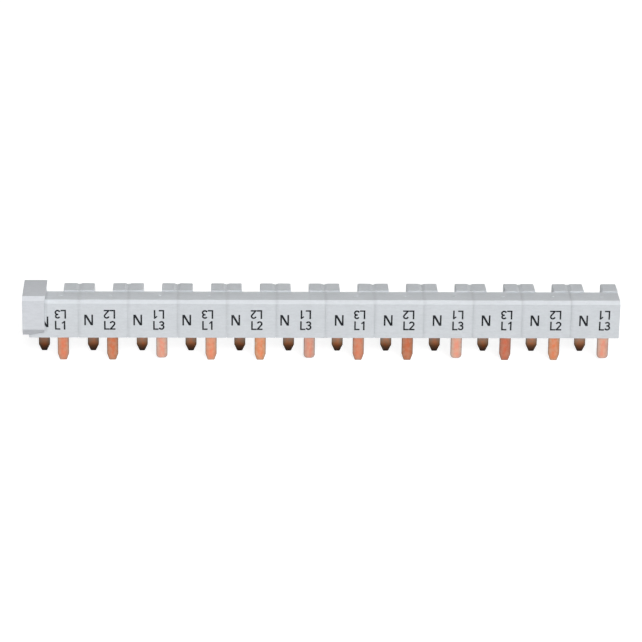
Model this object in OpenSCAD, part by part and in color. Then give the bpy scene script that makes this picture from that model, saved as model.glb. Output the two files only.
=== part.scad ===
// Four-pole comb busbar for one-module devices.
// Insulating segments stand in a row over four copper combs, and a cap closes the left end.
// Bar frame: X from the left end of the row, Y from its front face, Z from its underside.

/* [Bar] */
// Number of one-module segments, three for each full turn of the phases
module_count = 12; // [6:3:18]
// Width of one module along the rail
module_pitch = 17.8; // [17:0.1:19]
// Air gap between two neighbouring segments
segment_gap = 0.02; // [0.02:0.01:0.3]
// Depth and width of the rebate around each segment end
seam_rebate = 0.1; // [0.1:0.05:0.4]

/* [Front block] */
// Thickness of the front wall
front_wall = 1.1; // [0.9:0.1:1.8]
// Thickness of the walls between the phase slots
phase_wall = 1; // [0.8:0.1:1.6]
// Thickness of the wall behind the third phase slot
back_wall = 1.25; // [1:0.05:2]
// Height of the front block
housing_h = 14.2; // [13.4:0.1:16]
// Thickness of the roof over every slot
roof = 1.2; // [0.9:0.1:1.4]
// Size of the chamfer along the front top edge
edge_chamfer = 1.15; // [0.6:0.05:1.8]

/* [Rear block] */
// Distance from the front block to the neutral slot
neutral_step = 0.45; // [0.3:0.05:1]
// Thickness of the wall behind the neutral slot
neutral_wall = 1; // [0.8:0.1:1.6]
// Depth of the cored pocket behind that wall
pocket_depth = 2.8; // [1.5:0.1:4]
// Thickness of the rear wall
rear_wall = 1.2; // [0.9:0.1:1.8]
// Thickness of the end walls of the pocket
pocket_end_wall = 1; // [0.7:0.1:1.5]
// Height of the crenel floor between two tabs
crenel_floor = 10.2; // [9.6:0.1:11]
// Width of the half tab at each end of a segment
tab_w = 5.6; // [4.4:0.1:6.4]
// Rise of the tabs above the front block
tab_rise = 0.5; // [0.3:0.1:1.5]
// Radius of the rounded corner of a tab towards the crenel
tab_corner_r = 0.45; // [0.3:0.05:0.8]
// Width of the shallow notch in the tab tops at each seam
notch_w = 2.2; // [1:0.1:4]
// Depth of that notch
notch_depth = 0.4; // [0.2:0.05:0.8]

/* [Gate mark] */
// Place of the gate mark along the module
gate_x = 11.2; // [8:0.1:13]
// Distance of the gate mark from the front face
gate_y = 5.5; // [3:0.1:7]
// Diameter of the gate mark
gate_d = 1.4; // [0.8:0.1:2]
// Height of the gate mark
gate_h = 0.2; // [0.1:0.05:0.5]

/* [Copper] */
// Thickness of the copper
strip_t = 1.6; // [1.2:0.1:1.8]
// Height of the strips
strip_h = 6.2; // [5:0.1:7.5]
// Play between the copper and each slot wall
slot_play = 0.1; // [0.05:0.05:0.2]
// Distance from the bar's ends to the copper
strip_inset = 1; // [0.5:0.1:1.5]
// Inner radius of the bends in the joggled teeth
bend_r = 0.5; // [0.3:0.1:0.6]
// Slope of the joggle away from the strip's plane
joggle_angle = 75; // [65:1:80]
// Height at which every joggle ends, above the housing's underside
joggle_end = 0.9; // [0.5:0.1:1.5]
// Depth of the nubs that hold the strips up in their slots
nub_depth = 0.3; // [0.2:0.05:0.5]
// Height of the nubs
nub_h = 0.8; // [0.5:0.1:1.5]
// Width of the nubs
nub_w = 3; // [1.5:0.1:4]

/* [Teeth] */
// Width of the teeth
tooth_w = 4.05; // [3:0.05:5]
// Length of the teeth below the housing
tooth_len = 9.1; // [7:0.1:12]
// How much shorter the teeth of the third phase are
third_phase_short = 0.8; // [0:0.1:1.5]
// Width of the flat tip of the first and second phase
phase_tip_w = 2.4; // [1.4:0.1:2.6]
// Width of the flat tip of the neutral
neutral_tip_w = 1.8; // [1.2:0.1:2.6]
// Height of the tapered tips
tip_h = 2.4; // [1.5:0.1:3.5]
// Radius of the rounded corners at the tips of the third phase
third_tip_r = 1.35; // [0.8:0.05:1.45]
// Place of the phase teeth along the module
phase_tooth_x = 12.2; // [11:0.1:13]
// Place of the neutral teeth along the module
neutral_tooth_x = 4.9; // [4:0.1:6]
// Side clearance of the chamber around a phase tooth
chamber_side = 1; // [0.5:0.1:1.5]

/* [End cap] */
// Thickness of the cap's front and rear walls
cap_wall = 1.1; // [0.8:0.1:1.6]
// Thickness of the cap's roof
cap_roof = 1.1; // [0.8:0.1:1.8]
// Thickness of the cap's end wall
cap_end_wall = 1.3; // [0.9:0.1:1.8]
// Play between the cap and the housing
cap_play = 0.1; // [0.05:0.05:0.2]
// Length of housing that the cap covers
cap_overlap = 6.15; // [4:0.05:7]
// Free length of the cap beyond the housing
cap_end = 2.25; // [2.2:0.05:4]
// Size of the chamfers along the cap's top edges
cap_edge_chamfer = 1.35; // [0.6:0.05:1.6]
// How far the mouth's upright edges lie behind the edge of its roof
cap_setback = 0.45; // [0.2:0.05:1]
// Height of the cap's lower edge at its closed end
cap_lift = 1.2; // [0.5:0.1:3]
// Rise of the lower edge from the end of the row to the mouth's upright edges
cap_rise = 1.2; // [0.2:0.1:2]
// Height at which the chamfer along the lower edge starts
cap_chamfer_top = 3.5; // [3.2:0.1:5]
// Thickness that the chamfer leaves at the lower edge
cap_lip = 0.3; // [0.2:0.05:0.6]
// Thickness of the two stop ribs inside the cap
stop_rib_t = 0.9; // [0.6:0.1:1.1]

/* [Hidden] */
$fn = 48;
// How far a cut or a joined piece reaches past the face that it crosses
over = 1;
// Number of flats along each bend of the copper
bend_flats = 10;

slot_w = strip_t + 2 * slot_play;
slot_pitch = slot_w + phase_wall;
front_depth = front_wall + 3 * slot_pitch - phase_wall + back_wall;
phase_slot_top = housing_h - roof;
phase_strip_foot = phase_slot_top - slot_play - strip_h;
phase_slots_end = front_depth - back_wall;

neutral_slot_y = front_depth + neutral_step;
neutral_slot_top = crenel_floor - roof;
neutral_strip_foot = neutral_slot_top - slot_play - strip_h;
pocket_y = neutral_slot_y + slot_w + neutral_wall;
housing_depth = pocket_y + pocket_depth + rear_wall;
tab_top = housing_h + tab_rise;

// A joggle brings a tooth forward: two bends of joggle_angle and a straight stretch between them.
bend_span = 2 * bend_r + strip_t;
function joggle_straight(phase) =
    (phase * slot_pitch - bend_span * (1 - cos(joggle_angle))) / sin(joggle_angle);
function joggle_start(phase) =
    joggle_end + bend_span * sin(joggle_angle) + joggle_straight(phase) * cos(joggle_angle);

chamber_w = tooth_w + 2 * chamber_side;
chamber_top = joggle_start(2) + slot_play;

bar_len = module_count * module_pitch;
segment_len = module_pitch - segment_gap;
row_start = segment_gap / 2;
row_end = bar_len - segment_gap / 2;
cap_skin = cap_play + cap_wall;
cap_top = tab_top + cap_play + cap_roof;

function phase_slot_y(phase) = front_wall + phase * slot_pitch;
function segment_name(k) = str("housing_segment_", k < 10 ? "0" : "", k);

// Moves the bar frame so that the origin lies under the middle of the bar, at the tips.
module seated() {
    translate([-(row_end - cap_end) / 2, -housing_depth / 2, tooth_len])
        children();
}

// Extrudes a profile drawn as (Y, Z) along X.
module along_x(length) {
    rotate([90, 0, 90])
        linear_extrude(length)
            children();
}

// Extrudes a profile drawn as (X, Z) along Y, from y_from to y_to.
module along_y(y_from, y_to) {
    translate([0, y_to, 0])
        rotate([90, 0, 0])
            linear_extrude(y_to - y_from)
                children();
}

// What a rounding takes off a top left corner, with the corner at the origin.
module corner_waste(radius) {
    difference() {
        translate([-over, -radius])
            square([radius + over, radius + over]);
        translate([radius, -radius])
            circle(radius);
    }
}

// Section of a segment up to the crenel floor, drawn smaller by inset for its rebated ends.
module segment_section(inset) {
    polygon([
        [inset, inset],
        [front_depth, inset],
        [front_depth, housing_h - inset],
        [inset + edge_chamfer, housing_h - inset],
        [inset, housing_h - inset - edge_chamfer]
    ]);
    translate([front_depth - over, inset])
        square([housing_depth - front_depth + over - inset, crenel_floor - inset]);
}

module segment_body() {
    along_x(segment_len)
        segment_section(seam_rebate);
    translate([seam_rebate, 0, 0])
        along_x(segment_len - 2 * seam_rebate)
            segment_section(0);
}

// Half tab at the left end of a segment. Where it meets a neighbour it has its half of the notch.
module half_tab(meets_neighbour) {
    seam_corner = meets_neighbour ? [[notch_w / 2, tab_top], [0, tab_top - notch_depth]] : [[0, tab_top]];
    along_y(front_depth, housing_depth)
        difference() {
            polygon(concat(
                [[0, crenel_floor - over], [tab_w, crenel_floor - over], [tab_w, tab_top]],
                seam_corner
            ));
            translate([tab_w, tab_top])
                mirror([1, 0])
                    corner_waste(tab_corner_r);
        }
}

module gate_mark() {
    translate([gate_x - row_start, gate_y, housing_h - roof / 2])
        cylinder(d = gate_d, h = roof / 2 + gate_h);
}

// Slots for the four strips, the chamber around the phase tooth and the cored pocket.
module segment_hollows() {
    for (phase = [0 : 2])
        translate([-over, phase_slot_y(phase), -over])
            cube([module_pitch + 2 * over, slot_w, phase_slot_top + over]);
    translate([-over, neutral_slot_y, -over])
        cube([module_pitch + 2 * over, slot_w, neutral_slot_top + over]);
    translate([phase_tooth_x - row_start - chamber_w / 2, front_wall, -over])
        cube([chamber_w, phase_slots_end - front_wall, chamber_top + over]);
    translate([pocket_end_wall, pocket_y, -over])
        cube([segment_len - 2 * pocket_end_wall, pocket_depth, neutral_slot_top + over]);
}

// Wedge under a strip, on the front wall of its slot.
module nub(slot_y, strip_foot, x_middle) {
    ledge = strip_foot - slot_play;
    translate([x_middle - row_start - nub_w / 2, slot_y, ledge])
        along_x(nub_w)
            polygon([[0, 0], [nub_depth, 0], [0, -nub_h]]);
}

// Each nub stands where no tooth of its slot passes: under the teeth of the other row.
module nubs() {
    for (phase = [0 : 2])
        nub(phase_slot_y(phase), phase_strip_foot, neutral_tooth_x);
    nub(neutral_slot_y, neutral_strip_foot, phase_tooth_x);
}

// Segment k of the row, counted from 1, drawn from its own left end.
module housing_segment(k) {
    color("gainsboro") {
        difference() {
            union() {
                segment_body();
                half_tab(k > 1);
                translate([segment_len, 0, 0])
                    mirror([1, 0, 0])
                        half_tab(k < module_count);
                gate_mark();
            }
            segment_hollows();
        }
        nubs();
    }
}

// Front view of a tooth with a tapered tip, centred on X = 0.
module tapered_tooth(reach, tip_w, z_top) {
    polygon([
        [-tip_w / 2, -reach],
        [tip_w / 2, -reach],
        [tooth_w / 2, tip_h - reach],
        [tooth_w / 2, z_top],
        [-tooth_w / 2, z_top],
        [-tooth_w / 2, tip_h - reach]
    ]);
}

// Front view of a tooth with rounded corners at its tip, centred on X = 0.
module rounded_tooth(reach, z_top) {
    difference() {
        translate([-tooth_w / 2, -reach])
            square([tooth_w, reach + z_top]);
        for (side = [0, 1])
            mirror([side, 0])
                translate([-tooth_w / 2, -reach])
                    mirror([0, 1])
                        corner_waste(third_tip_r);
    }
}

// Points along one face of a bend, from one angle to another about the bend's centre.
function bend_face(centre, radius, from, to) = [
    for (i = [0 : bend_flats])
        let (angle = from + (to - from) * i / bend_flats)
            centre + radius * [cos(angle), sin(angle)]
];

// Side view of a phase tooth: out of its strip, joggled forward, and down to the tip.
module phase_tooth_side(phase, reach) {
    strip_front = phase_slot_y(phase) + slot_play;
    tooth_front = phase_slot_y(0) + slot_play;
    strip_top = phase_strip_foot + over;
    outer_r = bend_r + strip_t;
    upper_bend = [strip_front - bend_r, joggle_start(phase)];
    lower_bend = [tooth_front + outer_r, joggle_end];
    joggle_front = phase == 0 ? [] : concat(
        bend_face(upper_bend, bend_r, 0, -joggle_angle),
        bend_face(lower_bend, outer_r, 180 - joggle_angle, 180)
    );
    joggle_rear = phase == 0 ? [] : concat(
        bend_face(lower_bend, bend_r, 180, 180 - joggle_angle),
        bend_face(upper_bend, outer_r, -joggle_angle, 0)
    );
    polygon(concat(
        [[strip_front, strip_top]],
        joggle_front,
        [[tooth_front, -reach], [tooth_front + strip_t, -reach]],
        joggle_rear,
        [[strip_front + strip_t, strip_top]]
    ));
}

module phase_tooth(phase) {
    reach = tooth_len - (phase == 2 ? third_phase_short : 0);
    intersection() {
        translate([-tooth_w, 0, 0])
            along_x(2 * tooth_w)
                phase_tooth_side(phase, reach);
        along_y(0, front_depth)
            if (phase == 2)
                rounded_tooth(reach, phase_slot_top);
            else
                tapered_tooth(reach, phase_tip_w, phase_slot_top);
    }
}

module comb_strip(y_front, foot) {
    translate([strip_inset, y_front, foot])
        cube([bar_len - 2 * strip_inset, strip_t, strip_h]);
}

// Comb of one phase, 0 to 2: its strip, and a tooth in every third module.
module phase_comb(phase) {
    color([0.87, 0.54, 0.42]) {
        comb_strip(phase_slot_y(phase) + slot_play, phase_strip_foot);
        for (k = [phase : 3 : module_count - 1])
            translate([k * module_pitch + phase_tooth_x, 0, 0])
                phase_tooth(phase);
    }
}

// Comb of the neutral: a straight tooth in every module.
module neutral_comb() {
    tooth_y = neutral_slot_y + slot_play;
    color([0.56, 0.37, 0.28]) {
        comb_strip(tooth_y, neutral_strip_foot);
        for (k = [0 : module_count - 1])
            translate([k * module_pitch + neutral_tooth_x, 0, 0])
                along_y(tooth_y, tooth_y + strip_t)
                    tapered_tooth(tooth_len, neutral_tip_w, neutral_strip_foot + over);
    }
}

// Outer section of the cap, chamfered along its top and lower edges.
module cap_section() {
    half_depth = housing_depth / 2;
    translate([half_depth, 0])
        for (side = [0, 1])
            mirror([side, 0])
                translate([-half_depth - cap_skin, 0])
                    polygon([
                        [cap_wall - cap_lip, 0],
                        [half_depth + cap_skin, 0],
                        [half_depth + cap_skin, cap_top],
                        [cap_edge_chamfer, cap_top],
                        [0, cap_top - cap_edge_chamfer],
                        [0, cap_chamfer_top],
                        [cap_wall - cap_lip, cap_lift]
                    ]);
}

// The two ribs that stop the cap against the end walls of the first segment.
module stop_ribs() {
    rib_x = -cap_end + cap_end_wall - over / 2;
    for (rib_y = [phase_slot_y(1) - phase_wall / 2, pocket_y - neutral_wall / 2])
        translate([rib_x, rib_y - stop_rib_t / 2, cap_lift + cap_rise])
            cube([row_start - cap_play - rib_x, stop_rib_t, cap_top - cap_roof / 2 - cap_lift - cap_rise]);
}

module end_cap() {
    mouth = row_start + cap_overlap;
    color("lightgray")
        intersection() {
            union() {
                difference() {
                    translate([-cap_end, 0, 0])
                        along_x(cap_end + mouth)
                            cap_section();
                    translate([-cap_end + cap_end_wall, -cap_play, -over])
                        cube([
                            cap_end + mouth,
                            housing_depth + 2 * cap_play,
                            tab_top + cap_play + over
                        ]);
                }
                stop_ribs();
            }
            along_y(-cap_skin - over, housing_depth + cap_skin + over)
                polygon([
                    [-cap_end, cap_lift],
                    [row_start, cap_lift],
                    [mouth - cap_setback, cap_lift + cap_rise],
                    [mouth - cap_setback, cap_top - cap_edge_chamfer],
                    [mouth, cap_top],
                    [-cap_end, cap_top]
                ]);
        }
}

for (k = [1 : module_count])
    seated()
            translate([row_start + (k - 1) * module_pitch, 0, 0])
                housing_segment(k);
seated() phase_comb(0);  // busbar_l1
seated() phase_comb(1);  // busbar_l2
seated() phase_comb(2);  // busbar_l3
seated() neutral_comb();  // busbar_n
seated() end_cap();
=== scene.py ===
import math
import bpy
import bmesh
from mathutils import Matrix, Vector
from mathutils.geometry import delaunay_2d_cdt


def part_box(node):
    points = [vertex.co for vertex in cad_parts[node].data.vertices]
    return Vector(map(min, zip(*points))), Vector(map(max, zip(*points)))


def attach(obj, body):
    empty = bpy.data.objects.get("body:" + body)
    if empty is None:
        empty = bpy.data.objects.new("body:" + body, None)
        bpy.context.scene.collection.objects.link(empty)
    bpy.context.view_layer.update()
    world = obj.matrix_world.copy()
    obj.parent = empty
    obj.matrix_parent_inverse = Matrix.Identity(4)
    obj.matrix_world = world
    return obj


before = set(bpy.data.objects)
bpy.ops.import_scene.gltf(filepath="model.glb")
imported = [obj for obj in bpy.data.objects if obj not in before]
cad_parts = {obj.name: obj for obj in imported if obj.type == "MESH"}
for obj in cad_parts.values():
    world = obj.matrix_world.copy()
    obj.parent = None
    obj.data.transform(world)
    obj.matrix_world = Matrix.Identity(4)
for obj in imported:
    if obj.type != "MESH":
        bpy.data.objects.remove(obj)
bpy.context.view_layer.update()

MM = 0.001
MODULES = 12
SEGMENTS = ["housing_segment_%02d" % k for k in range(1, MODULES + 1)]

# Places on the part, read from the frame

first_low, first_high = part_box(SEGMENTS[0])
second_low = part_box(SEGMENTS[1])[0]
PITCH = second_low.x - first_low.x
ROW_LEFT = (first_high.x + second_low.x) / 2 - PITCH
ROW_RIGHT = ROW_LEFT + MODULES * PITCH
FRONT_Y = first_low.y
REAR_Y = first_high.y
UNDERSIDE_Z = first_low.z
CAP_MOUTH_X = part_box("end_cap")[1].x

# The step from the top band up to the tabs, at the rear edge of the front block

FRONT_BLOCK_DEPTH = 9.75 * MM
TAB_RISE = 0.5 * MM
STEP_Y = FRONT_Y + FRONT_BLOCK_DEPTH
STEP_Z = first_high.z - TAB_RISE

# Teeth: half their width, the height of their tips, and how far up the neutral's show

TOOTH_HALF = 2.025 * MM
TIP_HEIGHT = 2.4 * MM
EXPOSED_Z = 5.2 * MM

# Directions of the faces that get a painted light or shade of their own

UP = (0, 0, 1)
FRONT = (0, -1, 0)
FRONT_CHAMFER = Vector((0, -1, 1)).normalized()
CAP_LOWER_CHAMFER = Vector((0, -2.3, -0.8)).normalized()
NOTCH_LEFT_FLANK = Vector((0.4, 0, 1.1)).normalized()
NOTCH_RIGHT_FLANK = Vector((-0.4, 0, 1.1)).normalized()


def srgb(r, g, b):
    """Linear colour of sRGB levels from 0 to 255."""
    def linear(level):
        share = level / 255
        return share / 12.92 if share <= 0.04045 else ((share + 0.055) / 1.055) ** 2.4
    return linear(r), linear(g), linear(b), 1.0


# Nodes

class Nodes:
    """A short way to build the nodes of a material or a world."""

    def __init__(self, owner, output):
        self.owner = owner
        owner.use_nodes = True
        self.tree = owner.node_tree
        self.tree.nodes.clear()
        self.surface = self.add(output).inputs["Surface"]

    def feed(self, socket, value):
        """Links a socket to another one's output, or sets it to a constant."""
        if isinstance(value, bpy.types.NodeSocket):
            self.tree.links.new(value, socket)
        else:
            socket.default_value = value

    def set(self, node, **inputs):
        """Feeds a node's sockets by name, with _ for a space."""
        for key, value in inputs.items():
            self.feed(node.inputs[key.replace("_", " ")], value)

    def add(self, kind, *values, **settings):
        """Adds a node with its settings, and feeds its first sockets in turn."""
        node = self.tree.nodes.new(kind)
        for key, value in settings.items():
            setattr(node, key, value)
        for socket, value in zip(node.inputs, values):
            self.feed(socket, value)
        return node

    def position(self):
        return self.add("ShaderNodeTexCoord").outputs["Object"]

    def scaled(self, vector, scale, offset=(0, 0, 0)):
        node = self.add("ShaderNodeMapping")
        self.set(node, Vector=vector, Location=offset, Scale=scale)
        return node.outputs["Vector"]

    def noise(self, vector, scale, detail, roughness):
        node = self.add("ShaderNodeTexNoise")
        self.set(node, Vector=vector, Scale=scale, Detail=detail, Roughness=roughness)
        return node.outputs["Fac"]

    def math(self, operation, *values):
        return self.add("ShaderNodeMath", *values, operation=operation).outputs["Value"]

    def total(self, first, *others):
        for value in others:
            first = self.math("ADD", first, value)
        return first

    def remap(self, value, from_min, from_max, to_min, to_max, kind="LINEAR"):
        span = (from_min, from_max, to_min, to_max)
        return self.add("ShaderNodeMapRange", value, *span, interpolation_type=kind).outputs["Result"]

    def spread(self, noise, low, high):
        """Stretches the usual span of a noise over low to high."""
        return self.remap(noise, 0.3, 0.7, low, high)

    def on_faces(self, direction, start, full, amount):
        """An amount on faces that look along a direction of the part's frame, and nothing on others."""
        normal = self.add("ShaderNodeNewGeometry").outputs["True Normal"]
        node = self.add("ShaderNodeVectorMath", normal, direction, operation="DOT_PRODUCT")
        return self.remap(node.outputs["Value"], start, full, 0.0, amount)

    def mix(self, factor, a, b, blend="MIX"):
        node = self.add("ShaderNodeMix", factor, data_type="RGBA", blend_type=blend)
        self.feed(node.inputs[6], a)
        self.feed(node.inputs[7], b)
        return node.outputs[2]

    def ramp(self, value, stops):
        node = self.add("ShaderNodeValToRGB", value)
        elements = node.color_ramp.elements
        while len(elements) < len(stops):
            elements.new(0.5)
        for element, (place, colour) in zip(elements, stops):
            element.position = place
            element.color = colour
        return node.outputs["Color"]

    def separate(self, vector):
        return self.add("ShaderNodeSeparateXYZ", vector).outputs

    def combine(self, x, y, z):
        return self.add("ShaderNodeCombineXYZ", x, y, z).outputs["Vector"]

    def bump(self, height, distance, strength):
        node = self.add("ShaderNodeBump")
        self.set(node, Height=height, Distance=distance, Strength=strength)
        return node.outputs["Normal"]

    def principled(self, **inputs):
        node = self.add("ShaderNodeBsdfPrincipled")
        self.set(node, **inputs)
        self.feed(self.surface, node.outputs["BSDF"])

    def seen(self):
        """One where the eye, a reflection or a glass looks, and nothing where light bounces."""
        path = self.add("ShaderNodeLightPath").outputs
        straight = self.math("MAXIMUM", path["Is Camera Ray"], path["Is Glossy Ray"])
        return self.math("MAXIMUM", straight, path["Is Transmission Ray"])


def material_nodes(name):
    return Nodes(bpy.data.materials.new(name), "ShaderNodeOutputMaterial")


# Plastic of the housing and the cap

HOUSING_GREY = srgb(212, 216, 220)
CAP_GREY = srgb(213, 216, 221)

# Noises in the plastic: scale, detail and roughness

GRAIN = (9000.0, 2.0, 0.6)
MOTTLE = (160.0, 4.0, 0.55)
CLOUD = (45.0, 2.0, 0.5)
SPECK = (2300.0, 2.0, 0.6)
FLOW_STREAK = (1.0, 2.0, 0.6)
CLOUD_STRETCH = (1.0, 1.0, 2.0)
FLOW_STRETCH = (420.0, 1600.0, 1600.0)

# Tones, as shares that are added to the plastic's brightness. All but the module tones are painted shade and
# light

RISER_TONE = -0.17
SEAM_TONE = -0.065
MOUTH_TONE = -0.14
# Painted shade on the notches' left flanks and painted light on their right flanks, which evens out their
# shading
NOTCH_LEFT_PAINTED_SHADE = -0.055
NOTCH_RIGHT_PAINTED_LIGHT = 0.08
# Painted highlight on the front chamfers
FRONT_CHAMFER_PAINTED_HIGHLIGHT = 0.083
# Painted shade on the cap's lower chamfer
CAP_LOWER_CHAMFER_PAINTED_SHADE = -0.16
# Painted shade on the tops, light at the front and deeper towards the rear
FRONT_TOP_PAINTED_SHADE = -0.022
REAR_TOP_PAINTED_SHADE = -0.125
# Painted light on the tops just in front of the step
STEP_PAINTED_LIGHT = 0.12
# Painted shade on the cap's top
CAP_TOP_PAINTED_SHADE = -0.05
MODULE_TONES = (-0.014, 0.010)
MODULE_SEED = 0.37
SEAM_SHADE_REACH = 1.0 * MM


def plastic_noise(m, place, mottle):
    """Change of tone by mottling, clouds, drawn-out flow streaks and specks."""
    cloud = m.noise(m.scaled(place, CLOUD_STRETCH), *CLOUD)
    streak = m.noise(m.scaled(place, FLOW_STRETCH), *FLOW_STREAK)
    speck = m.noise(place, *SPECK)
    return m.total(
        m.spread(mottle, -0.010, 0.010),
        m.spread(cloud, -0.012, 0.012),
        m.spread(streak, -0.035, 0.035),
        m.spread(speck, -0.020, 0.020))


def riser_shade(m, z):
    """Shade on the low riser at the foot of the tabs."""
    shade = m.remap(z, STEP_Z + 0.02 * MM, STEP_Z + 0.06 * MM, 0.0, RISER_TONE)
    return m.math("MULTIPLY", shade, m.on_faces(FRONT, 0.5, 0.9, 1.0))


def seam_shade(m, x):
    """Soft shade along the seams, centred a little to their right, and none at the row's right end."""
    along = m.math("SUBTRACT", x, ROW_LEFT + 0.3 * MM)
    distance = m.math("PINGPONG", along, PITCH / 2)
    right_end = m.remap(x, ROW_RIGHT - 1.3 * MM, ROW_RIGHT - 1.1 * MM, 0.0, SEAM_SHADE_REACH)
    distance = m.math("MAXIMUM", distance, right_end)
    return m.remap(distance, 0.2 * MM, SEAM_SHADE_REACH, SEAM_TONE, 0.0)


def mouth_shade(m, x, z):
    """Soft shade on the first segment beside the cap's mouth, as far down as the cap reaches."""
    distance = m.math("ABSOLUTE", m.math("SUBTRACT", x, CAP_MOUTH_X))
    shade = m.remap(distance, 0.15 * MM, 0.9 * MM, MOUTH_TONE, 0.0)
    covered = m.remap(z, UNDERSIDE_Z + 1.8 * MM, UNDERSIDE_Z + 2.8 * MM, 0.0, 1.0)
    return m.math("MULTIPLY", shade, covered)


def module_tone(m, x):
    """A slightly different tone in each module."""
    number = m.math("FLOOR", m.math("DIVIDE", m.math("SUBTRACT", x, ROW_LEFT), PITCH))
    dice = m.add("ShaderNodeTexWhiteNoise", noise_dimensions="1D")
    m.set(dice, W=m.math("ADD", number, MODULE_SEED))
    return m.remap(dice.outputs["Value"], 0.0, 1.0, *MODULE_TONES)


def housing_tones(m, x, y, z):
    """Tones that only the segments have: painted shade and light and a random tone per module on all faces,
    and a painted light near the step on the tops.
    """
    below_tabs = m.remap(z, STEP_Z + 0.1 * MM, STEP_Z + 0.2 * MM, 1.0, 0.0)
    everywhere = [
        riser_shade(m, z),
        m.math("MULTIPLY", seam_shade(m, x), below_tabs),
        mouth_shade(m, x, z),
        # Painted shade and painted light on the two flanks of the tabs' notches
        m.on_faces(NOTCH_LEFT_FLANK, 0.965, 0.99, NOTCH_LEFT_PAINTED_SHADE),
        m.on_faces(NOTCH_RIGHT_FLANK, 0.965, 0.99, NOTCH_RIGHT_PAINTED_LIGHT),
        module_tone(m, x),
    ]
    # Painted light on the top band in front of the step
    painted_light_near_step = m.remap(y, STEP_Y - 2.6 * MM, STEP_Y, 0.0, STEP_PAINTED_LIGHT)
    return everywhere, [m.math("MULTIPLY", painted_light_near_step, below_tabs)]


def cap_tones(m, x, y, z):
    """The cap's own tones: none on all faces, and a painted shade on its top."""
    return [], [CAP_TOP_PAINTED_SHADE]


def moulded_plastic(name, colour, own_tones):
    """Light grey moulded plastic with a fine grain. Its front chamfers carry a painted highlight, the cap's
    lower chamfer a painted shade, and its tops a painted shade that deepens towards the rear."""
    m = material_nodes(name)
    place = m.position()
    x, y, z = m.separate(place)
    grain = m.noise(place, *GRAIN)
    mottle = m.noise(place, *MOTTLE)
    everywhere, on_tops = own_tones(m, x, y, z)
    # Painted shade on the tops, deeper towards the rear, and painted light in front of the step
    top = m.total(m.remap(y, FRONT_Y, REAR_Y, FRONT_TOP_PAINTED_SHADE, REAR_TOP_PAINTED_SHADE), *on_tops)
    tone = m.total(
        plastic_noise(m, place, mottle),
        m.math("MULTIPLY", top, m.on_faces(UP, 0.5, 0.9, 1.0)),
        # Painted highlight on the front chamfers and painted shade on the cap's lower chamfer
        m.on_faces(FRONT_CHAMFER, 0.93, 0.99, FRONT_CHAMFER_PAINTED_HIGHLIGHT),
        m.on_faces(CAP_LOWER_CHAMFER, 0.965, 0.99, CAP_LOWER_CHAMFER_PAINTED_SHADE),
        *everywhere)
    factor = m.math("ADD", tone, 1.0)
    base = m.mix(1.0, colour, m.combine(factor, factor, factor), "MULTIPLY")
    roughness = m.total(m.spread(mottle, 0.35, 0.42), m.spread(grain, -0.03, 0.03))
    normal = m.bump(grain, 0.010 * MM, 0.8)
    m.principled(Base_Color=base, Roughness=roughness, Normal=normal, IOR=1.46, Specular_IOR_Level=0.2)
    return m.owner


# Copper of the combs

# A tooth's rim tint is painted reflection and shade, and the root flag paints shade on it just below the
# housing
PHASE_TEETH = {
    "first": ROW_LEFT + 12.2 * MM,
    "tip_half": 1.2 * MM,
    "rim": (0.72, 1.06, 1.24, 1.0),
    "painted_root_shade": True,
}
NEUTRAL_TEETH = {
    "first": ROW_LEFT + 4.9 * MM,
    "tip_half": 0.9 * MM,
    "rim": (0.68, 0.90, 1.04, 1.0),
    "painted_root_shade": False,
}
STAIN_TINT = (0.78, 0.80, 0.82, 1.0)
# Painted reflection that darkens the bevelled edges of the teeth
PAINTED_EDGE_REFLECTION_TINT = (0.72, 0.72, 0.74, 1.0)

# Noises in the copper: scale, detail and roughness

BLOTCH = (1000.0, 2.0, 0.55)
STAIN = (420.0, 4.0, 0.6)
ROLLING_STREAK = (1.0, 3.0, 0.6)
BLOTCH_STRETCH = (1.0, 1.0, 0.7)
STAIN_STRETCH = (1.0, 1.0, 1.0)
ROLLING_STRETCH = (2500.0, 2500.0, 60.0)

# Colours of the neutral's teeth, from their dark tips up to the housing: a painted shade that darkens them
# towards the tips

NEUTRAL_PAINTED_SHADE_RAMP = [
    (0.0, srgb(44, 29, 23)),
    (0.25, srgb(74, 46, 32)),
    (0.40, srgb(96, 56, 34)),
    (0.55, srgb(128, 78, 51)),
    (0.70, srgb(144, 97, 70)),
    (0.85, srgb(151, 108, 85)),
    (1.0, srgb(158, 118, 98)),
]
NEUTRAL_WARM_TINT = (1.06, 0.98, 0.92, 1.0)
NEUTRAL_PALE_TINT = (0.78, 1.02, 1.20, 1.0)

# Each comb's colours, how its tone swings from tooth to tooth, and the rounding of its edges.
# Pace and start are angles in radians, and depth is the power by which green and blue follow the tone

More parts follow.
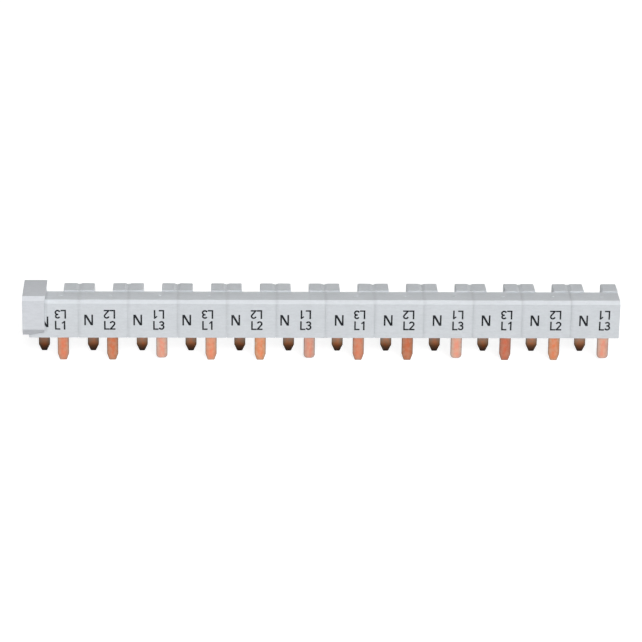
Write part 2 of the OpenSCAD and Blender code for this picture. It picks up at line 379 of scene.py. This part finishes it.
COMBS = {
    "busbar_l1": {
        "teeth": PHASE_TEETH, "warm": srgb(206, 118, 89), "pale": srgb(198, 134, 107), "seed": 3.1,
        "pace": 1.64, "start": 2.75, "swing": 0.175, "drift": 0.0, "depth": 1.6, "rounding": 0.28 * MM,
    },
    "busbar_l2": {
        "teeth": PHASE_TEETH, "warm": srgb(204, 118, 82), "pale": srgb(198, 136, 106), "seed": 5.4,
        "pace": 1.32, "start": 2.20, "swing": 0.190, "drift": 0.0, "depth": 1.5, "rounding": 0.28 * MM,
    },
    "busbar_l3": {
        "teeth": PHASE_TEETH, "warm": srgb(216, 142, 120), "pale": srgb(208, 158, 136), "seed": 7.7,
        "pace": 0.86, "start": 0.10, "swing": 0.044, "drift": 0.0, "depth": 1.5, "rounding": 0.28 * MM,
    },
    "busbar_n": {
        "teeth": NEUTRAL_TEETH, "ramp": NEUTRAL_PAINTED_SHADE_RAMP, "seed": 11.3,
        "pace": 1.54, "start": 1.35, "swing": -0.12, "drift": 0.020, "depth": 1.1, "rounding": 0.24 * MM,
    },
}


def warm_and_pale(m, comb, z):
    """The two colours that a comb is blotched with."""
    if "ramp" not in comb:
        return comb["warm"], comb["pale"]
    # A painted shade on the neutral's teeth, darkest at their tips
    colour = m.ramp(m.math("DIVIDE", z, EXPOSED_Z), comb["ramp"])
    warm = m.mix(1.0, colour, NEUTRAL_WARM_TINT, "MULTIPLY")
    return warm, m.mix(1.0, colour, NEUTRAL_PALE_TINT, "MULTIPLY")


def depth_in_tooth(m, teeth, along, z):
    """How far a point lies inside the outline of its tooth."""
    taper = (TOOTH_HALF - teeth["tip_half"]) / TIP_HEIGHT
    tip = m.math("MULTIPLY_ADD", z, taper, teeth["tip_half"])
    half_width = m.math("MINIMUM", tip, TOOTH_HALF)
    inside = m.math("SUBTRACT", half_width, m.math("PINGPONG", along, PITCH / 2))
    inside = m.math("MINIMUM", inside, z)
    # Painted shade at the tooth's root, just below the housing
    if teeth["painted_root_shade"]:
        inside = m.math("MINIMUM", inside, m.math("SUBTRACT", UNDERSIDE_Z + 0.3 * MM, z))
    return inside


def tooth_tone(m, comb, along):
    """A tone for each tooth, which swings along the bar and may drift."""
    number = m.math("FLOOR", m.math("MULTIPLY_ADD", along, 1 / PITCH, 0.5))
    wave = m.math("SINE", m.math("MULTIPLY_ADD", number, comb["pace"], comb["start"]))
    from_middle = m.math("SUBTRACT", number, (MODULES - 1) / 2)
    tone = m.math("MULTIPLY_ADD", from_middle, comb["drift"], 1.0)
    return m.math("MULTIPLY_ADD", wave, comb["swing"], tone)


def copper(name, comb, painted_edge_reflection=False):
    """Rolled copper, blotched and stained. Every tooth has its own tone and a darker rim of painted
    reflection and shade, and the bevelled edges are darker still by painted reflection."""
    m = material_nodes(name)
    place = m.position()
    x, _, z = m.separate(place)
    along = m.math("SUBTRACT", x, comb["teeth"]["first"])
    offset = (comb["seed"], 0, 0)
    blotch = m.noise(m.scaled(place, BLOTCH_STRETCH, offset), *BLOTCH)
    stain = m.noise(m.scaled(place, STAIN_STRETCH, offset), *STAIN)
    streak = m.noise(m.scaled(place, ROLLING_STRETCH), *ROLLING_STREAK)

    warm, pale = warm_and_pale(m, comb, z)
    base = m.mix(m.remap(blotch, 0.38, 0.62, 0.0, 1.0), warm, pale)
    base = m.mix(m.remap(stain, 0.50, 0.72, 0.0, 0.5), base, STAIN_TINT, "MULTIPLY")
    inside = m.total(depth_in_tooth(m, comb["teeth"], along, z), m.spread(blotch, -0.2 * MM, 0.2 * MM))
    # Painted reflection and shade: a darker, greyer rim along each tooth's edges and root
    base = m.mix(m.remap(inside, 0.30 * MM, 1.5 * MM, 1.0, 0.0), base, comb["teeth"]["rim"], "MULTIPLY")
    tone = tooth_tone(m, comb, along)
    deep = m.math("POWER", tone, comb["depth"])
    base = m.mix(1.0, base, m.combine(tone, deep, deep), "MULTIPLY")
    # Painted reflection: the bevelled edges darker still
    if painted_edge_reflection:
        base = m.mix(1.0, base, PAINTED_EDGE_REFLECTION_TINT, "MULTIPLY")

    roughness = m.total(m.spread(streak, 0.30, 0.40), m.remap(stain, 0.4, 0.7, 0.0, 0.08))
    m.principled(Base_Color=base, Metallic=1.0, Roughness=roughness, Normal=m.bump(streak, 0.006 * MM, 0.7))
    return m.owner


# Materials and rounded edges of the nodes

def soften(obj, width, segments, edge_slot=-1, clear_flats=True):
    """Joins the loaded mesh's corners, clears its flat triangles where asked and rounds its edges.
    The edges take the material of their own slot where one is given."""
    weld = obj.modifiers.new("weld", "WELD")
    weld.merge_threshold = 0.001 * MM
    if clear_flats:
        planar = obj.modifiers.new("planar", "DECIMATE")
        planar.decimate_type = "DISSOLVE"
        planar.angle_limit = math.radians(0.5)
    bevel = obj.modifiers.new("bevel", "BEVEL")
    bevel.width = width
    bevel.segments = segments
    bevel.limit_method = "ANGLE"
    bevel.angle_limit = math.radians(32)
    bevel.miter_outer = "MITER_ARC"
    bevel.material = edge_slot


def dress(obj, *materials):
    obj.data.materials.clear()
    for material in materials:
        obj.data.materials.append(material)


housing_plastic = moulded_plastic("housing_plastic", HOUSING_GREY, housing_tones)
for name in SEGMENTS:
    dress(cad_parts[name], housing_plastic)
    soften(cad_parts[name], 0.03 * MM, 2, clear_flats=False)
dress(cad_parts["end_cap"], moulded_plastic("cap_plastic", CAP_GREY, cap_tones))
soften(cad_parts["end_cap"], 0.12 * MM, 3)
for name, comb in COMBS.items():
    rolled = copper("copper_" + name, comb)
    # Edge material, darkened by a painted reflection
    edge = copper("copper_edge_" + name, comb, painted_edge_reflection=True)
    dress(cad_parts[name], rolled, edge)
    soften(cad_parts[name], comb["rounding"], 3, edge_slot=1)


# Phase marks, printed on the front face, with their outlines in millimetres

INK_THICKNESS = 0.015 * MM
STROKE = 0.58
MARK_HEIGHT = 3.4
FOOT_HEIGHT = 0.54
FOOT_LENGTH = 1.95
DIGIT_START = 2.0
ONE_START = 2.56
NEUTRAL_STROKE = 0.60
NEUTRAL_HEIGHT = 4.1
NEUTRAL_WIDTH = 3.16


def print_ink(name):
    """Dark grey pad-printed ink, a little uneven in its cover."""
    m = material_nodes(name)
    cover = m.noise(m.position(), 2600.0, 3.0, 0.6)
    base = m.mix(m.remap(cover, 0.35, 0.75, 0.0, 0.35), srgb(22, 24, 29), srgb(42, 45, 51))
    roughness = m.spread(cover, 0.42, 0.58)
    normal = m.bump(cover, 0.004 * MM, 0.5)
    m.principled(Base_Color=base, Roughness=roughness, Normal=normal, Specular_IOR_Level=0.2)
    return m.owner


def arc(centre, radii, start, stop, steps=14):
    """Points along an ellipse, from one angle in degrees to another."""
    points = []
    for i in range(steps + 1):
        turn = math.radians(start + (stop - start) * i / steps)
        points.append(Vector((centre[0] + radii[0] * math.cos(turn), centre[1] + radii[1] * math.sin(turn))))
    return points


def thick_line(points, width=STROKE):
    """Outline of a line of even width through the points, with square ends."""
    points = [Vector(p) for p in points]
    left, right = [], []
    for i, point in enumerate(points):
        before = (point - points[i - 1]).normalized() if i else None
        after = (points[i + 1] - point).normalized() if i + 1 < len(points) else before
        before = before or after
        across = Vector((-(before + after).y, (before + after).x)).normalized()
        reach = width / 2 / max(0.4, across.dot(Vector((-before.y, before.x))))
        left.append(point + across * reach)
        right.append(point - across * reach)
    return right + left[::-1]


def outline(*points):
    return [Vector(p) for p in points]


def box(x0, y0, x1, y1):
    return outline((x0, y0), (x1, y0), (x1, y1), (x0, y1))


def glyph_n():
    slant = 0.84
    left_stem = box(0, 0, NEUTRAL_STROKE, NEUTRAL_HEIGHT)
    right_stem = box(NEUTRAL_WIDTH - NEUTRAL_STROKE, 0, NEUTRAL_WIDTH, NEUTRAL_HEIGHT)
    top = NEUTRAL_HEIGHT
    diagonal = outline((0, top), (NEUTRAL_WIDTH - slant, 0), (NEUTRAL_WIDTH, 0), (slant, top))
    return [left_stem, right_stem, diagonal]


def glyph_l():
    return [box(0, 0, STROKE, MARK_HEIGHT), box(0, 0, FOOT_LENGTH, FOOT_HEIGHT)]


def glyph_1(x):
    stem = x + 0.62
    flag = thick_line([(x, MARK_HEIGHT - 0.98), (stem + 0.16, MARK_HEIGHT - 0.30)], 0.46)
    return [box(stem, 0, stem + STROKE, MARK_HEIGHT), flag]


def glyph_2(x):
    radii = (0.78, 0.74)
    bowl = arc((x + 1.05, MARK_HEIGHT - STROKE / 2 - radii[1]), radii, 168, -38)
    return [thick_line(bowl + outline((x + 0.34, 0.30))), box(x + 0.02, 0, x + 2.12, FOOT_HEIGHT)]


def glyph_3(x):
    half = STROKE / 2
    waist = MARK_HEIGHT * 0.53
    upper = (MARK_HEIGHT - half - waist) / 2
    lower = (waist - half) / 2
    top = arc((x + 1.02, waist + upper), (0.72, upper), 160, -90)
    bottom = arc((x + 1.02, half + lower), (0.80, lower), 90, -162)
    return [thick_line(top), thick_line(bottom), box(x + 0.74, waist - half, x + 1.06, waist + half)]


def union(outlines):
    """Joins overlapping outlines into one set of corners and faces."""
    corners, faces = [], []
    for points in outlines:
        area = sum(a.x * b.y - b.x * a.y for a, b in zip(points, points[1:] + points[:1]))
        ordered = points if area > 0 else points[::-1]
        faces.append(list(range(len(corners), len(corners) + len(ordered))))
        corners += ordered
    corners, _, faces, _, _, sources = delaunay_2d_cdt(corners, [], faces, 0, 1e-5)
    return corners, [face for face, source in zip(faces, sources) if source]


def stamp(target, shape, x, height, turned=False):
    """Adds a shape to the print. A turned one stands on its head, with its anchor at its right."""
    corners, faces = shape
    spin = -MM if turned else MM
    y = FRONT_Y - INK_THICKNESS
    z = UNDERSIDE_Z + height * MM
    placed = [target.verts.new((x + spin * c.x, y, z + spin * c.y)) for c in corners]
    for face in faces:
        target.faces.new([placed[i] for i in face])


# Where the marks stand in a module: start and leftward creep per module, in each half of the print

PRINT_RUN = 6
NEUTRAL_PLACE = ((3.865, 0.145), (5.05, 0.085))
LOWER_PLACE = ((9.36, 0.125), (10.50, 0.045))
UPPER_PLACE = ((13.42, 0.155), (14.44, 0.050))

# Heights of the marks above the housing's underside

NEUTRAL_MARK_Z = 4.76
LOWER_MARK_Z = 3.04
UPPER_MARK_Z = 10.70

# The first neutral mark is half under the cap and stands apart from its row

FIRST_NEUTRAL_PLACE = 5.47
FIRST_NEUTRAL_Z = 4.0


def mark_x(unit, place):
    """Where a mark stands along the bar in one of the modules, counted from 0."""
    start, creep = place[unit // PRINT_RUN]
    return ROW_LEFT + unit * PITCH + (start - creep * (unit % PRINT_RUN)) * MM


def print_marks(target):
    """Prints N, the phase's mark and, on its head, the mark of the bar turned round in every module."""
    neutral = union(glyph_n())
    labels = [
        union(glyph_l() + glyph_1(ONE_START)),
        union(glyph_l() + glyph_2(DIGIT_START)),
        union(glyph_l() + glyph_3(DIGIT_START)),
    ]
    for unit in range(MODULES):
        neutral_x, neutral_z = mark_x(unit, NEUTRAL_PLACE), NEUTRAL_MARK_Z
        if unit == 0:
            neutral_x, neutral_z = ROW_LEFT + FIRST_NEUTRAL_PLACE * MM, FIRST_NEUTRAL_Z
        stamp(target, neutral, neutral_x - NEUTRAL_WIDTH / 2 * MM, neutral_z)
        stamp(target, labels[unit % 3], mark_x(unit, LOWER_PLACE), LOWER_MARK_Z)
        stamp(target, labels[2 - unit % 3], mark_x(unit, UPPER_PLACE), UPPER_MARK_Z, True)


marks = bmesh.new()
print_marks(marks)
mark_mesh = bpy.data.meshes.new("phase_marks")
marks.to_mesh(mark_mesh)
marks.free()
mark_mesh.materials.append(print_ink("print_ink"))
phase_marks = bpy.data.objects.new("phase_marks", mark_mesh)
bpy.context.scene.collection.objects.link(phase_marks)
thickness = phase_marks.modifiers.new("thickness", "SOLIDIFY")
thickness.thickness = INK_THICKNESS
thickness.offset = -1.0
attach(phase_marks, "root")


# Floor

FLOOR_Z = -0.02 * MM
FLOOR_HALF = 6.0
FLOOR_GLOW = 0.84


def pale_floor():
    """Pale paper that shows nearly white, and keeps the part's shadow."""
    m = material_nodes("floor_paper")
    level = m.spread(m.noise(m.position(), 900.0, 3.0, 0.6), 0.39, 0.41)
    diffuse = m.add("ShaderNodeBsdfDiffuse", m.combine(level, level, level))
    glow = m.add("ShaderNodeEmission", (1, 1, 1, 1), m.math("MULTIPLY", m.seen(), FLOOR_GLOW))
    both = m.add("ShaderNodeAddShader", diffuse.outputs["BSDF"], glow.outputs["Emission"])
    m.feed(m.surface, both.outputs["Shader"])
    return m.owner


floor_mesh = bpy.data.meshes.new("floor")
corners = [(x * FLOOR_HALF, y * FLOOR_HALF, FLOOR_Z) for x, y in ((-1, -1), (1, -1), (1, 1), (-1, 1))]
floor_mesh.from_pydata(corners, [], [(0, 1, 2, 3)])
floor_mesh.materials.append(pale_floor())
floor = bpy.data.objects.new("floor", floor_mesh)
bpy.context.scene.collection.objects.link(floor)


# World and lamps

WALL_LIGHT = 2.4
CEILING_LIGHT = 0.03
CEILING_START = 0.35
AMBIENT_COLOUR = (0.96, 0.98, 1.0, 1)


def studio_world():
    """A white room to the eye. Its walls light the part, the rear wall most, and its ceiling hardly does."""
    m = Nodes(bpy.data.worlds.new("studio"), "ShaderNodeOutputWorld")
    _, y, z = m.separate(m.add("ShaderNodeTexCoord").outputs["Generated"])
    wall = m.math("MULTIPLY", m.math("MULTIPLY_ADD", y, 0.5, 0.5), WALL_LIGHT)
    strength = m.remap(z, 0.0, CEILING_START, wall, CEILING_LIGHT, "SMOOTHSTEP")
    ambient = m.add("ShaderNodeBackground", AMBIENT_COLOUR, strength)
    white = m.add("ShaderNodeBackground", (1, 1, 1, 1), 1.0)
    shown = m.add("ShaderNodeMixShader", m.seen(), ambient.outputs["Background"], white.outputs["Background"])
    m.feed(m.surface, shown.outputs["Shader"])
    return m.owner


def towards(azimuth, elevation):
    """Direction in degrees. Azimuth 0 lies in front of the bar, towards -Y, and 90 to its right."""
    a, e = math.radians(azimuth), math.radians(elevation)
    return Vector((math.sin(a) * math.cos(e), -math.cos(a) * math.cos(e), math.sin(e)))


def sun(name, azimuth, elevation, energy, angle, in_gloss=True):
    """A distant lamp that shines from a direction."""
    data = bpy.data.lights.new(name, "SUN")
    data.energy = energy
    data.angle = math.radians(angle)
    lamp = bpy.data.objects.new(name, data)
    lamp.rotation_euler = towards(azimuth, elevation).to_track_quat("Z", "Y").to_euler()
    lamp.visible_glossy = in_gloss
    bpy.context.scene.collection.objects.link(lamp)


bpy.context.scene.world = studio_world()
sun("key", 14, 30, 2.79, 40)
sun("top_light", 2, 67, 0.29, 22)
sun("right_fill", 105, 6, 0.9, 24)
sun("rear_fill", 180, 8, 0.6, 16, in_gloss=False)


# Camera, fitted to the photograph

ELEVATION = 21.055
YAW = 2.185
ROLL = 0.889
DISTANCE = 1153.6 * MM
FOCAL_PX = 3169.2
FRAME_PX = 642
SENSOR_WIDTH = 36.0
TARGET = Vector((-0.08 * MM, 0, 12.387 * MM))


def fitted_camera():
    data = bpy.data.cameras.new("camera")
    data.sensor_fit = "HORIZONTAL"
    data.sensor_width = SENSOR_WIDTH
    data.lens = FOCAL_PX / FRAME_PX * SENSOR_WIDTH
    data.clip_start = 0.01
    data.clip_end = 50.0
    camera = bpy.data.objects.new("camera", data)
    bpy.context.scene.collection.objects.link(camera)
    back = towards(-YAW, ELEVATION)
    right = (-back).cross(Vector((0, 0, 1))).normalized()
    up = right.cross(-back)
    level = Matrix((right, up, back)).transposed()
    roll = Matrix.Rotation(math.radians(ROLL), 3, "Z")
    camera.matrix_world = Matrix.Translation(TARGET + back * DISTANCE) @ (level @ roll).to_4x4()
    return camera


camera = fitted_camera()
bpy.context.scene.camera = camera
bpy.context.scene.view_settings.view_transform = "Standard"
